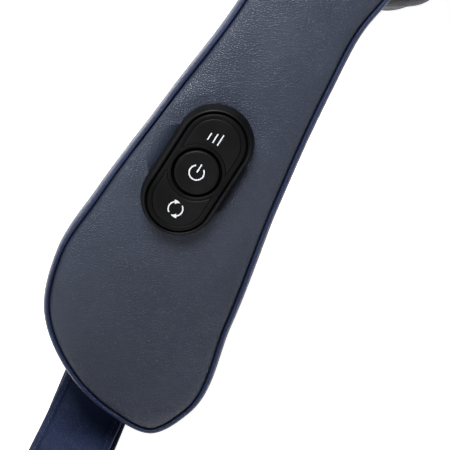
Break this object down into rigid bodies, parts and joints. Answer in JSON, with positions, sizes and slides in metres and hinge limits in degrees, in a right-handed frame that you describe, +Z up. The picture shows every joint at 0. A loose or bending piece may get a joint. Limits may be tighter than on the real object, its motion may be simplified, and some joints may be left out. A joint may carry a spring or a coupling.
{
  "type": "shiatsu neck massager",
  "caption": "Shawl-shaped massager of padded leather: two arms with hand loops, a key panel on one, and a back pad holding geared kneading heads.",
  "frame": {"origin": "middle of the footprint, on the surface that the massager stands on", "axes": "+Z up, the arms and hand loops point to -Y, the wearer's right arm with the keys is at -X"},
  "size_m": [0.5098, 0.4203, 0.1744],
  "materials": {
    "face_leather": "fine pebbled satin",
    "side_leather": "satin navy",
    "strap_leather": "satin navy",
    "foam": "open-cell foam",
    "lining_fabric": "brushed knit",
    "mesh_fabric": "stretch mesh",
    "black_plastic": "moulded",
    "panel_plastic": "satin moulded",
    "key_plastic": "matt moulded",
    "acetal": "natural acetal",
    "head_plastic": "smooth moulded",
    "bronze": "sintered",
    "cable_rubber": "matt",
    "board": "solder mask",
    "cell_wrap": "shrink wrap over steel cells",
    "steel": "satin"
  },
  "bodies": {
    "core": {"core_face": "face_leather", "core_gusset": "side_leather", "crest_foam": "foam", "crest_lining": "lining_fabric", "back_foam": "foam", "pad_frame_foam": "foam", "pad_lining": "lining_fabric", "mesh_liner": "mesh_fabric", "rear_shell": "black_plastic", "front_shell": "black_plastic", "housing_screws": "steel", "motor_can": "steel", "rotor_bushes": "bronze", "shaft_bushes": "bronze", "cable_core": "cable_rubber"},
    "motor_rotor": {"motor_shaft": "steel", "worm_right": "acetal", "worm_left": "acetal"},
    "arm_right": {"arm_face_right": "face_leather", "arm_gusset_right": "side_leather", "arm_lining_right": "lining_fabric", "arm_foam_right": "foam", "strap_anchor_right": "strap_leather", "cable_right": "cable_rubber", "control_bezel": "panel_plastic", "key_plate": "panel_plastic", "control_tub": "black_plastic", "control_board": "board", "key_switches": "steel", "control_screws": "steel"},
    "arm_left": {"arm_face_left": "face_leather", "arm_gusset_left": "side_leather", "arm_lining_left": "lining_fabric", "arm_foam_left": "foam", "strap_anchor_left": "strap_leather", "cable_left": "cable_rubber", "battery_pack": "cell_wrap", "battery_tray": "black_plastic", "charge_jack": "black_plastic"},
    "key_intensity": {"key_intensity": "key_plastic"},
    "key_power": {"key_power": "key_plastic"},
    "key_rotation": {"key_rotation": "key_plastic"},
    "strap_right": {"strap_loop_right": "strap_leather"},
    "strap_left": {"strap_loop_left": "strap_leather"},
    "rotor_1": {"worm_wheel_1": "acetal", "rotor_arm_1": "black_plastic"},
    "head_large_1": {"head_large_1": "head_plastic"},
    "head_small_1": {"head_small_1": "head_plastic"},
    "rotor_2": {"worm_wheel_2": "acetal", "rotor_arm_2": "black_plastic"},
    "head_large_2": {"head_large_2": "head_plastic"},
    "head_small_2": {"head_small_2": "head_plastic"},
    "rotor_3": {"worm_wheel_3": "acetal", "rotor_arm_3": "black_plastic"},
    "head_large_3": {"head_large_3": "head_plastic"},
    "head_small_3": {"head_small_3": "head_plastic"},
    "rotor_4": {"worm_wheel_4": "acetal", "rotor_arm_4": "black_plastic"},
    "head_large_4": {"head_large_4": "head_plastic"},
    "head_small_4": {"head_small_4": "head_plastic"}
  },
  "joints": [
    {"name": "rotor_1_spin", "type": "hinge", "parent": "core", "child": "rotor_1", "pos_m": [-0.052, 0.13459, 0.09741], "axis": [0, 0.848, 0.5299], "continuous": true},
    {"name": "head_large_1_spin", "type": "hinge", "parent": "rotor_1", "child": "head_large_1", "pos_m": [-0.04091, 0.1066, 0.07237], "axis": [0, 0.848, 0.5299], "continuous": true},
    {"name": "head_small_1_spin", "type": "hinge", "parent": "rotor_1", "child": "head_small_1", "pos_m": [-0.06542, 0.0991, 0.08437], "axis": [0, 0.848, 0.5299], "continuous": true},
    {"name": "rotor_2_spin", "type": "hinge", "parent": "core", "child": "rotor_2", "pos_m": [0.052, 0.13459, 0.09741], "axis": [0, 0.848, 0.5299], "continuous": true},
    {"name": "head_large_2_spin", "type": "hinge", "parent": "rotor_2", "child": "head_large_2", "pos_m": [0.04091, 0.1066, 0.07237], "axis": [0, 0.848, 0.5299], "continuous": true},
    {"name": "head_small_2_spin", "type": "hinge", "parent": "rotor_2", "child": "head_small_2", "pos_m": [0.06542, 0.0991, 0.08437], "axis": [0, 0.848, 0.5299], "continuous": true},
    {"name": "rotor_3_spin", "type": "hinge", "parent": "core", "child": "rotor_3", "pos_m": [-0.052, 0.16426, 0.04992], "axis": [0, 0.848, 0.5299], "continuous": true},
    {"name": "head_large_3_spin", "type": "hinge", "parent": "rotor_3", "child": "head_large_3", "pos_m": [-0.04091, 0.13627, 0.02488], "axis": [0, 0.848, 0.5299], "continuous": true},
    {"name": "head_small_3_spin", "type": "hinge", "parent": "rotor_3", "child": "head_small_3", "pos_m": [-0.06542, 0.12878, 0.03688], "axis": [0, 0.848, 0.5299], "continuous": true},
    {"name": "rotor_4_spin", "type": "hinge", "parent": "core", "child": "rotor_4", "pos_m": [0.052, 0.16426, 0.04992], "axis": [0, 0.848, 0.5299], "continuous": true},
    {"name": "head_large_4_spin", "type": "hinge", "parent": "rotor_4", "child": "head_large_4", "pos_m": [0.04091, 0.13627, 0.02488], "axis": [0, 0.848, 0.5299], "continuous": true},
    {"name": "head_small_4_spin", "type": "hinge", "parent": "rotor_4", "child": "head_small_4", "pos_m": [0.06542, 0.12878, 0.03688], "axis": [0, 0.848, 0.5299], "continuous": true},
    {"name": "motor_spin", "type": "hinge", "parent": "core", "child": "motor_rotor", "pos_m": [0, 0.14942, 0.07366], "axis": [1, 0, 0], "continuous": true},
    {"name": "key_intensity_press", "type": "slide", "parent": "arm_right", "child": "key_intensity", "axis": [0, 0.6157, -0.788], "range_m": [0, 0.0008], "stiffness_N_per_m": 900},
    {"name": "key_power_press", "type": "slide", "parent": "arm_right", "child": "key_power", "axis": [0, 0.6157, -0.788], "range_m": [0, 0.0008], "stiffness_N_per_m": 900},
    {"name": "key_rotation_press", "type": "slide", "parent": "arm_right", "child": "key_rotation", "axis": [0, 0.6157, -0.788], "range_m": [0, 0.0008], "stiffness_N_per_m": 900},
    {"name": "arm_right_flex", "type": "hinge", "parent": "core", "child": "arm_right", "pos_m": [-0.085, 0.05978, 0.14826], "axis": [1, 0, 0], "range_deg": [-15, 20], "stiffness_Nm_per_rad": 20},
    {"name": "strap_right_swing", "type": "hinge", "parent": "arm_right", "child": "strap_right", "pos_m": [-0.201, -0.10075, 0.003], "axis": [-0.9436, 0.3311, 0], "range_deg": [0, 40]},
    {"name": "arm_left_flex", "type": "hinge", "parent": "core", "child": "arm_left", "pos_m": [0.085, 0.05978, 0.14826], "axis": [1, 0, 0], "range_deg": [-15, 20], "stiffness_Nm_per_rad": 20},
    {"name": "strap_left_swing", "type": "hinge", "parent": "arm_left", "child": "strap_left", "pos_m": [0.201, -0.10075, 0.003], "axis": [-0.9436, -0.3311, 0], "range_deg": [0, 40]}
  ],
  "couplings": [
    {"joint": "rotor_2_spin", "follows": "rotor_1_spin", "ratio": -1},
    {"joint": "rotor_3_spin", "follows": "rotor_1_spin", "ratio": -1},
    {"joint": "rotor_4_spin", "follows": "rotor_1_spin", "ratio": 1},
    {"joint": "motor_spin", "follows": "rotor_1_spin", "ratio": -40}
  ]
}
